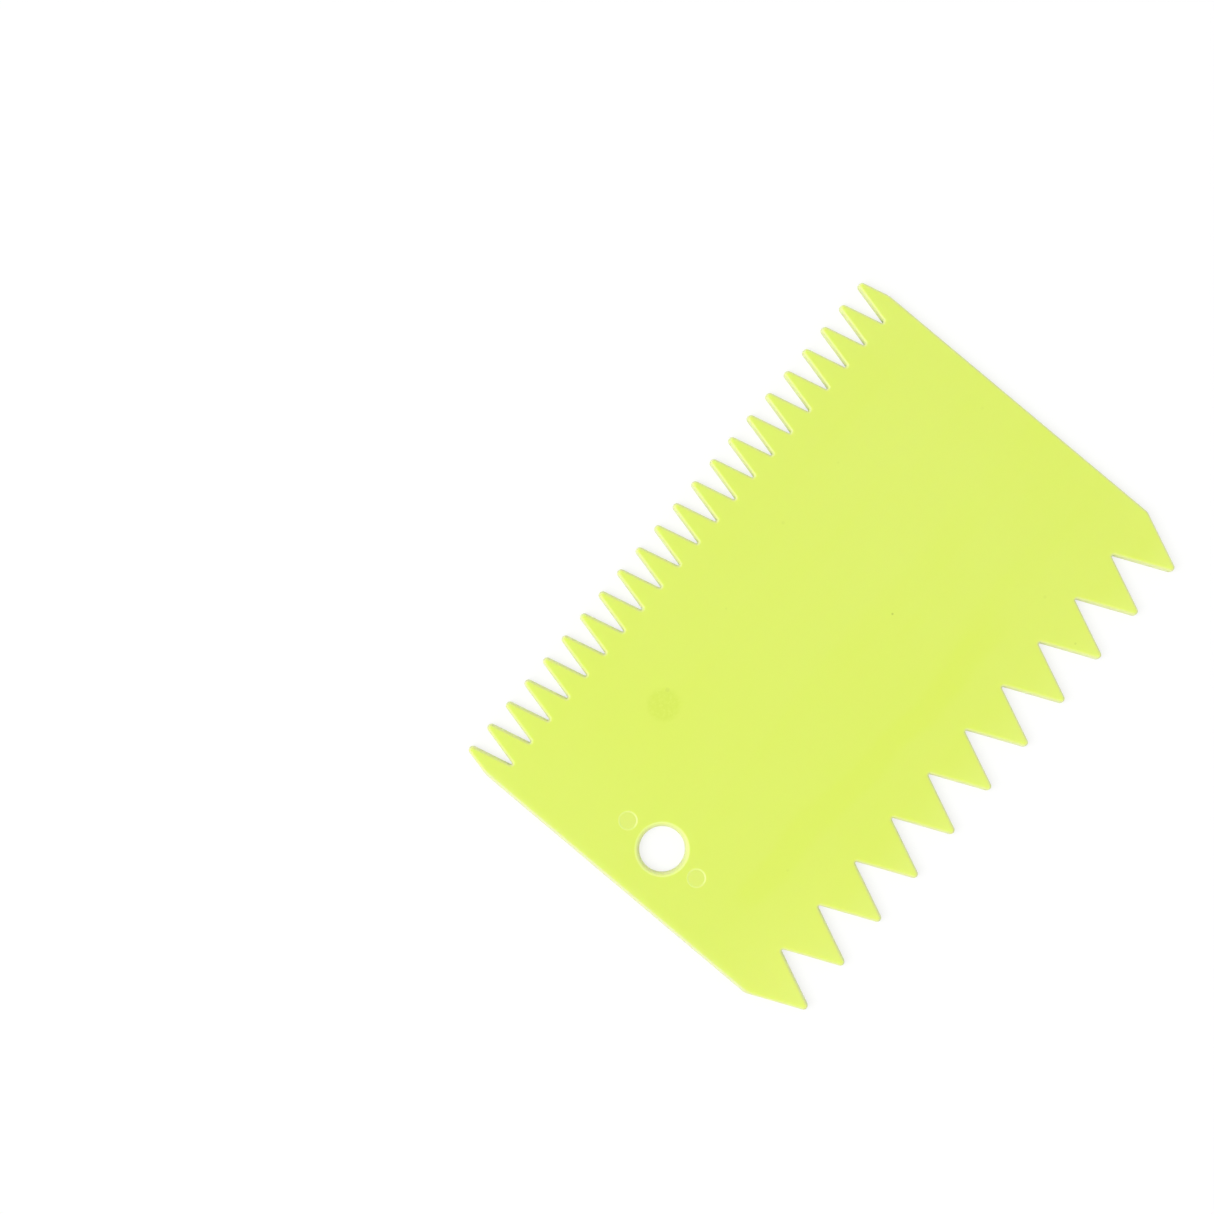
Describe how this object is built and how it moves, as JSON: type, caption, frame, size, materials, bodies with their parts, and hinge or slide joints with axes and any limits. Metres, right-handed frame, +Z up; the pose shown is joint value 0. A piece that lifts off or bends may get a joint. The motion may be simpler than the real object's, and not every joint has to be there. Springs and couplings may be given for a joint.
{
  "type": "cake scraper",
  "caption": "Flat plastic cake scraper with a coarse comb along one long edge, a fine comb along the other and a hanging hole.",
  "frame": {"origin": "middle of the footprint, on the flat lower face", "axes": "+X along the combs, away from the hanging hole; +Y towards the fine comb; +Z up, out of the upper face with the rolled edge"},
  "size_m": [0.11, 0.0746, 0.002],
  "materials": {
    "lime_plastic": "soft satin, slightly translucent lime polypropylene"
  },
  "bodies": {
    "root": {"comb_scraper": "lime_plastic"}
  },
  "joints": []
}
